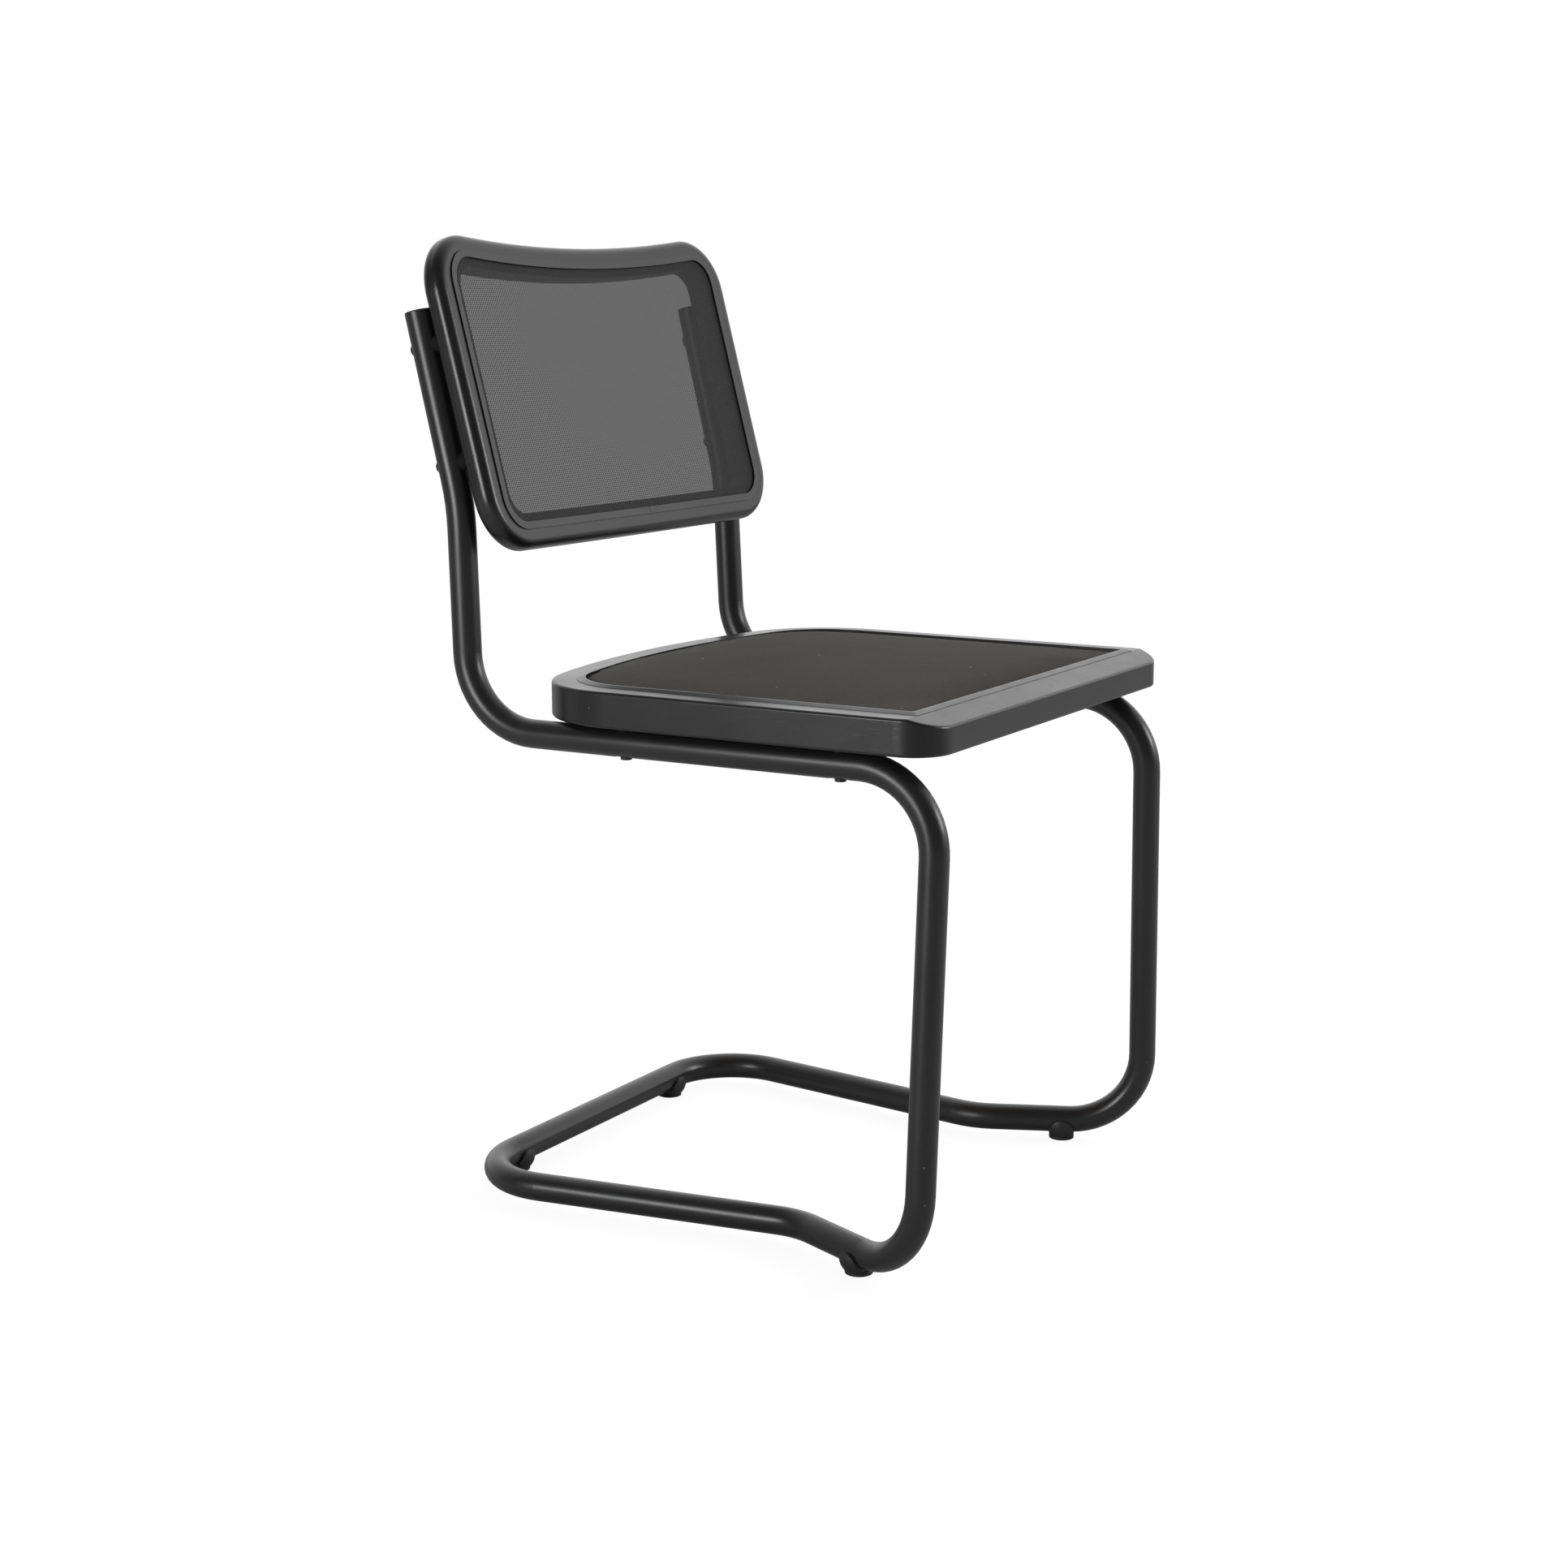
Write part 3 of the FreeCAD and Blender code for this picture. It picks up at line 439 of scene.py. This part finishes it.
foam_finish = make_plain_finish("grey foam", roughness=0.9, grain=1.5 * MM,
                                dark=(0.1, 0.1, 0.1), light=(0.16, 0.16, 0.16))
plywood_finish = make_layered_finish("birch plywood", roughness=0.55, stretch=(18.0, 500.0, 500.0),
                                     dark=(0.45, 0.31, 0.18), light=(0.6, 0.44, 0.28))
dowel_finish = make_layered_finish("beech dowel", roughness=0.55, stretch=(150.0, 150.0, 150.0),
                                   dark=(0.5, 0.34, 0.2), light=(0.62, 0.45, 0.28))

# %% Give every construction piece its finish
FINISH_OF = {
    "tube_frame": tube_finish,
    "upright_plug": glide_finish, "glide_front": glide_finish, "glide_rear": glide_finish,
    "glide_pads": pad_finish, "seat_spacers": spacer_finish, "back_spacers": spacer_finish,
    "seat_front_rail": wood_across, "seat_rear_rail": wood_across,
    "seat_side_rail": wood_lengthwise,
    "back_top_rail": wood_across, "back_bottom_rail": wood_across, "back_stile": wood_upright,
    "seat_spline": spline_finish, "back_spline": spline_finish,
    "seat_screws": screw_finish, "back_screws": screw_finish, "panel_screws": screw_finish,
    "seat_inserts": brass_finish, "back_inserts": brass_finish,
    "seat_dowels": dowel_finish, "back_dowels": dowel_finish,
    "seat_panel": plywood_finish, "seat_foam": foam_finish,
}
finished = []
for name, node in nodes.items():
    for start, finish in FINISH_OF.items():
        if name.startswith(start):
            node.data.materials.clear()
            node.data.materials.append(finish)
            finished.append(name)
print("finished nodes:", len(finished), "and still to remodel:", sorted(set(nodes) - set(finished)))

# %% [markdown]
# ## Helpers for modelling
# Edit-mode tools act on what is selected. These helpers start a clean copy of a construction
# piece and select its faces by where they point, as a modeller would with the mouse.

# %% Modelling helpers
MERGE_DISTANCE = 0.02 * MM
FACING = 0.5


def only(piece):
    """Makes one object the selected and active one."""
    bpy.ops.object.select_all(action="DESELECT")
    piece.select_set(True)
    bpy.context.view_layer.objects.active = piece


def clean_copy(node_name, name):
    """A separate copy of a construction piece, with its corners merged."""
    piece = bpy.data.objects.new(name, nodes[node_name].data.copy())
    bpy.context.scene.collection.objects.link(piece)
    only(piece)
    bpy.ops.mesh.customdata_custom_splitnormals_clear()
    bpy.ops.object.mode_set(mode="EDIT")
    bpy.ops.mesh.select_all(action="SELECT")
    bpy.ops.mesh.remove_doubles(threshold=MERGE_DISTANCE)
    bpy.ops.object.mode_set(mode="OBJECT")
    return piece


def keep_faces_toward(piece, direction):
    """Deletes the faces that turn too far away from a direction, by the cosine FACING."""
    only(piece)
    bpy.ops.object.mode_set(mode="EDIT")
    bpy.ops.mesh.select_mode(type="FACE")
    bpy.ops.mesh.select_all(action="DESELECT")
    bpy.ops.object.mode_set(mode="OBJECT")
    for face in piece.data.polygons:
        face.select = face.normal.dot(direction) < FACING
    bpy.ops.object.mode_set(mode="EDIT")
    bpy.ops.mesh.delete(type="FACE")
    bpy.ops.object.mode_set(mode="OBJECT")


def apply_all(piece):
    only(piece)
    for modifier in list(piece.modifiers):
        bpy.ops.object.modifier_apply(modifier=modifier.name)


# %% [markdown]
# ## The padded seat
# A thin foam pad lies on the plywood panel and the fabric is pulled tight over both, then pressed
# into a groove by a spline. The crown comes from the foam pushing up against a held edge. A
# sculpted dome would do, but a cloth simulation with a pinned rim and a little pressure gives
# the real curve: steep by the spline, almost flat in the middle.

# %% Seat pad: a closed body under the fabric
PAD_DEPTH = 7.0 * MM
PAD_VOXEL = 5.0 * MM


def make_seat_pad():
    pad = clean_copy("seat_cover", "seat_pad")
    keep_faces_toward(pad, Vector((0, 0, 1)))
    floor_z = min(vertex.co.z for vertex in pad.data.vertices) - PAD_DEPTH
    bpy.ops.object.mode_set(mode="EDIT")
    bpy.ops.mesh.select_all(action="SELECT")
    bpy.ops.mesh.extrude_region_move(TRANSFORM_OT_translate={"value": (0, 0, -PAD_DEPTH)})
    bpy.ops.transform.resize(value=(1, 1, 0), center_override=(0, 0, floor_z))
    bpy.ops.mesh.select_all(action="SELECT")
    bpy.ops.mesh.normals_make_consistent(inside=False)
    bpy.ops.object.mode_set(mode="OBJECT")
    remesh = pad.modifiers.new("even faces", "REMESH")
    remesh.mode = "VOXEL"
    remesh.voxel_size = PAD_VOXEL
    apply_all(pad)
    print("seat pad:", len(pad.data.vertices), "points")
    return pad


seat_pad = make_seat_pad()

# %% Seat pad: the fabric pushed up by the foam
PAD_PRESSURE = 4.0
PAD_FRAMES = 20
PAD_RISE = 1.5 * MM
PAD_HELD = 2.5 * MM


def inflate_pad(pad):
    """Cloth with its rim and underside held, capped in how far each point may move."""
    rest = [vertex.co.copy() for vertex in pad.data.vertices]
    rim_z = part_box("seat_cover")[0].z + PAD_HELD
    held = pad.vertex_groups.new(name="held")
    held.add([v.index for v in pad.data.vertices if v.co.z < rim_z], 1.0, "REPLACE")
    cloth = pad.modifiers.new("fabric", "CLOTH")
    cloth.settings.vertex_group_mass = "held"
    cloth.settings.use_pressure = True
    cloth.settings.uniform_pressure_force = PAD_PRESSURE
    cloth.settings.effector_weights.gravity = 0
    cloth.point_cache.frame_end = PAD_FRAMES
    for step in range(1, PAD_FRAMES + 1):
        bpy.context.scene.frame_set(step)
    apply_all(pad)
    bpy.context.scene.frame_set(1)
    for vertex, start in zip(pad.data.vertices, rest):
        move = vertex.co - start
        if move.length > PAD_RISE:
            vertex.co = start + move.normalized() * PAD_RISE
    pad.vertex_groups.clear()


inflate_pad(seat_pad)

# %% Seat pad: smoothed and fitted to the spline
PAD_STRETCH = 1.010


def fit_pad(pad):
    """One subdivision, then a little wider, so that the fabric reaches the spline all round."""
    smooth = pad.modifiers.new("smooth", "SUBSURF")
    smooth.levels = 1
    smooth.render_levels = 1
    apply_all(pad)
    bpy.ops.object.shade_smooth()
    low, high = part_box("seat_cover")
    middle = (0, (low.y + high.y) / 2, 0)
    bpy.ops.object.mode_set(mode="EDIT")
    bpy.ops.mesh.select_all(action="SELECT")
    bpy.ops.transform.resize(value=(PAD_STRETCH, PAD_STRETCH, 1), center_override=middle)
    bpy.ops.object.mode_set(mode="OBJECT")


fit_pad(seat_pad)
print("seat pad, fitted:", len(seat_pad.data.polygons), "faces, highest point",
      round(max(vertex.co.z for vertex in seat_pad.data.vertices), 4), "m")

# %% [markdown]
# The fabric is a fine twill: diagonal ribs of a warm grey yarn, about a millimetre and a half
# apart. The ribs are waves along one diagonal, broken up by a wave along the yarn, and their
# grooves are painted darker as shade as well as bumped. A UV map could carry them, but the pad
# is flat enough for object coordinates, so the weave keeps its real size.

# %% Material: twill
TWILL_PITCH = 1.9 * MM
TWILL_SLOPE = 0.8
TWILL_WOBBLE = 0.35 * MM
YARN_PITCH = 0.8 * MM
TWILL_DARK = (0.0085, 0.0078, 0.0068)
TWILL_LIGHT = (0.064, 0.0585, 0.0515)
TWILL_DUST = (0.2, 0.19, 0.18)


def make_twill_finish():
    material, tree, shader = new_material("grey twill", Roughness=0.85, Specular_IOR_Level=0.12,
                                          Sheen_Weight=0.06, Sheen_Roughness=0.5)
    place = object_place(tree)
    axes = axes_of(tree, place)
    diagonal = weighted_sum(tree, (axes["X"], 1.0), (axes["Y"], TWILL_SLOPE),
                            (noise(tree, place, scale=60.0), TWILL_WOBBLE))
    rib = wave(tree, diagonal, TWILL_PITCH)
    yarn = wave(tree, axes["Y"], YARN_PITCH)
    height = formula(tree, "ADD", weighted_sum(tree, (rib, 0.45), (yarn, 0.15)), 0.5)
    slubs = noise(tree, place, scale=350.0, detail=3.0, roughness=0.7)
    patches = noise(tree, place, scale=14.0, detail=3.0, roughness=0.6)
    # The colour follows the height of the weave, so the grooves get painted shade; slubs and
    # patches vary the tone at random.
    tone = weighted_sum(tree, (height, 0.6), (slubs, 0.6), (patches, 0.3))
    lightness = spread(tree, tone, low=0.3, high=1.3)
    cloth = blend_colours(tree, lightness, TWILL_DARK, TWILL_LIGHT)
    specks = use_group(tree, dust_specks, Vector=place, Spacing=12 * MM, Amount=0.08)
    feed(tree, blend_colours(tree, specks["Mask"], cloth, TWILL_DUST), shader["Base Color"])
    rough = formula(tree, "ADD", height, slubs)
    feed(tree, bump(tree, rough, 0.25 * MM, strength=0.6), shader["Normal"])
    return material


seat_pad.data.materials.clear()
seat_pad.data.materials.append(make_twill_finish())
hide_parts("seat_cover", "seat_foam")
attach(seat_pad, "root")

# %% [markdown]
# ## The net in the back
# The back is a net of fine black yarn, stretched in its frame and pressed into a groove by a
# spline. It follows the slight curve of the frame. Cutting its thousands of real holes would
# make a heavy mesh, so the net is one curved sheet. It starts as the front of the construction
# sheet, and is cut into upright strips. Its flat UV map, in metres, needs the lean of the back
# and the radius of its curve.

# %% Net: the sheet
BACK_CENTRE = Vector((0, 0.209150, 0.715))
BACK_LEAN = math.radians(14.9)
BACK_RADIUS = 3826.0 * MM
NET_STRIP = 8.0 * MM


def make_back_net():
    net = clean_copy("back_mesh", "back_net")
    keep_faces_toward(net, Vector((0, -math.cos(BACK_LEAN), math.sin(BACK_LEAN))))
    bpy.ops.object.mode_set(mode="EDIT")
    strips = int(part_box("back_mesh")[1].x / NET_STRIP)
    for step in range(-strips, strips + 1):
        bpy.ops.mesh.select_all(action="SELECT")
        bpy.ops.mesh.bisect(plane_co=(step * NET_STRIP, 0, 0), plane_no=(1, 0, 0))
    bpy.ops.object.mode_set(mode="OBJECT")
    bpy.ops.object.shade_smooth()
    return net


def lay_flat(net):
    """A UV map in metres: along the curve, and up the leaning sheet."""
    layer = net.data.uv_layers.new(name="flat")
    up = Vector((0, math.sin(BACK_LEAN), math.cos(BACK_LEAN)))
    for loop in net.data.loops:
        point = net.data.vertices[loop.vertex_index].co
        along = BACK_RADIUS * math.asin(point.x / BACK_RADIUS)
        layer.data[loop.index].uv = (along, (point - BACK_CENTRE).dot(up))


back_net = make_back_net()
lay_flat(back_net)

# %% [markdown]
# The net has dark knots in staggered rows, and between them a lighter web that lets a little
# light through. The pattern could be traced from a picture, but two sums with the flat map give
# each point its row and its place between two knots, and the material makes the web a bit clear.

# %% Group: knots of the net
KNOT_HALF_WIDTH = 0.27
KNOT_HALF_HEIGHT = 0.36


def make_net_group():
    """Oval knots in staggered rows. Yarn is 1 on a knot, and Height falls off more softly."""
    tree, given, out = new_group("Open net",
                                 {"Vector": "Vector", "Pitch": "Float", "Row": "Float"},
                                 ["Yarn", "Height"])
    axes = axes_of(tree, given["Vector"])
    rows = formula(tree, "DIVIDE", axes["Y"], given["Row"])
    row = formula(tree, "FLOOR", rows)
    stagger = formula(tree, "MULTIPLY", formula(tree, "FLOORED_MODULO", row, 2.0), 0.5)
    steps = formula(tree, "DIVIDE", axes["X"], given["Pitch"])
    columns = formula(tree, "FRACT", formula(tree, "ADD", steps, stagger))
    squares = []
    for share, half in ((columns, KNOT_HALF_WIDTH),
                        (formula(tree, "SUBTRACT", rows, row), KNOT_HALF_HEIGHT)):
        from_middle = formula(tree, "SUBTRACT", share, 0.5)
        squares.append(formula(tree, "POWER", formula(tree, "DIVIDE", from_middle, half), 2.0))
    distance = formula(tree, "SQRT", formula(tree, "ADD", *squares))
    yarn = spread(tree, distance, low=0.85, high=1.1, new_low=1.0, new_high=0.0)
    height = spread(tree, distance, low=0.6, high=1.6, new_low=1.0, new_high=0.0)
    feed(tree, yarn, out["Yarn"])
    feed(tree, height, out["Height"])
    return tree


net_knots = make_net_group()

# %% Material: net
NET_PITCH = 3.45 * MM
NET_ROW = 1.8 * MM
NET_OPEN = 0.14
NET_KNOT = (0.006, 0.006, 0.006)
NET_WEB_DARK = (0.012, 0.0115, 0.0108)
NET_WEB_LIGHT = (0.030, 0.0290, 0.0273)


def make_net_finish():
    material, tree, shader = new_material("black net yarn", Specular_IOR_Level=0.25, Roughness=0.6)
    flat = add_node(tree, "ShaderNodeUVMap", uv_map="flat").outputs[0]
    net = use_group(tree, net_knots, Vector=flat, Pitch=NET_PITCH, Row=NET_ROW)
    fibres = noise(tree, flat, scale=2500.0)
    lightness = spread(tree, fibres, low=0.3, high=0.7)
    web = blend_colours(tree, lightness, NET_WEB_DARK, NET_WEB_LIGHT)
    feed(tree, blend_colours(tree, net["Yarn"], web, NET_KNOT), shader["Base Color"])
    feed(tree, between(tree, net["Yarn"], 1.0 - NET_OPEN, 1.0), shader["Alpha"])
    height = formula(tree, "ADD", net["Height"], fibres)
    feed(tree, bump(tree, height, 0.3 * MM, strength=0.5), shader["Normal"])
    return material


back_net.data.materials.clear()
back_net.data.materials.append(make_net_finish())
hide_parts("back_mesh")
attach(back_net, "root")

# %% [markdown]
# ## The studio
# The photograph has a white, nearly shadowless background. A room with lit walls could give it,
# but a wide floor and a world that is brighter on the far side of the chair are simpler and as
# even. Two soft lamps, one at the front and one on the near side, draw the highlights along the
# stiles. Camera rays see white, and the floor keeps a faint shadow.

# %% Floor
FLOOR_SIZE = 40.0
FLOOR_GREY = 0.64
CAMERA_GLOW = 1.15
CAMERA_SHARE = 0.8


def mix_shaders(tree, share, first, second, output):
    """Sends a mixture of two shaders to the output of a material or a world."""
    mix = add_node(tree, "ShaderNodeMixShader")
    feed_all(tree, (share, first.outputs[0], second.outputs[0]), mix.inputs)
    feed(tree, mix.outputs[0], tree.nodes[output].inputs["Surface"])


def make_floor():
    bpy.ops.object.select_all(action="DESELECT")
    bpy.ops.mesh.primitive_plane_add(size=FLOOR_SIZE, location=(0, 0, 0))
    floor = bpy.context.object
    floor.name = "studio_floor"
    grey = (FLOOR_GREY, FLOOR_GREY, FLOOR_GREY, 1)
    material, tree, shader = new_material("studio floor", Roughness=0.9, Base_Color=grey)
    glow = add_node(tree, "ShaderNodeEmission")
    glow.inputs["Strength"].default_value = CAMERA_GLOW
    ray = add_node(tree, "ShaderNodeLightPath").outputs
    share = formula(tree, "MULTIPLY", ray["Is Camera Ray"], CAMERA_SHARE)
    mix_shaders(tree, share, tree.nodes["Principled BSDF"], glow, "Material Output")
    floor.data.materials.append(material)


make_floor()

# %% World
WORLD_BRIGHT_TOWARD = Vector((0.97, 0.26, 0.0))
WORLD_EDGES = (-0.25, 0.75)
WORLD_DARK = 0.18
WORLD_BRIGHT = 1.35
WORLD_COLOUR = (0.99, 0.99, 1.0, 1)


def make_world():
    """White for the camera. For the light, a wall that is bright on one side of the room."""
    world = bpy.data.worlds.new("studio")
    bpy.context.scene.world = world
    world.use_nodes = True
    tree = world.node_tree
    sky = add_node(tree, "ShaderNodeTexCoord").outputs["Generated"]
    toward = vector_formula(tree, "DOT_PRODUCT", sky, WORLD_BRIGHT_TOWARD)
    soft = tree.nodes["Background"]
    soft.inputs["Color"].default_value = WORLD_COLOUR
    level = spread(tree, toward, *WORLD_EDGES, WORLD_DARK, WORLD_BRIGHT)
    feed(tree, level, soft.inputs["Strength"])
    white = add_node(tree, "ShaderNodeBackground")
    white.inputs["Color"].default_value = (1, 1, 1, 1)
    ray = add_node(tree, "ShaderNodeLightPath").outputs
    straight = formula(tree, "MAXIMUM", ray["Is Camera Ray"], ray["Is Transmission Ray"])
    mix_shaders(tree, straight, soft, white, "World Output")


make_world()


# %% Lamps
def add_softbox(name, place, target, size, power):
    """A soft rectangle of light, aimed at a target and unseen by the camera."""
    bpy.ops.object.light_add(type="AREA", location=place)
    lamp = bpy.context.object
    lamp.name = name
    lamp.rotation_euler = (Vector(target) - Vector(place)).to_track_quat("-Z", "Y").to_euler()
    lamp.data.shape = "RECTANGLE"
    lamp.data.size, lamp.data.size_y = size
    lamp.data.energy = power
    lamp.visible_camera = False


add_softbox("front_softbox", place=(1.35, -2.3, 1.35), target=(0, 0.2, 0.75), size=(0.9, 0.8),
            power=26)
add_softbox("side_softbox", place=(-2.75, 0.6, 0.85), target=(0, 0.2, 0.7), size=(1.0, 0.8),
            power=34)
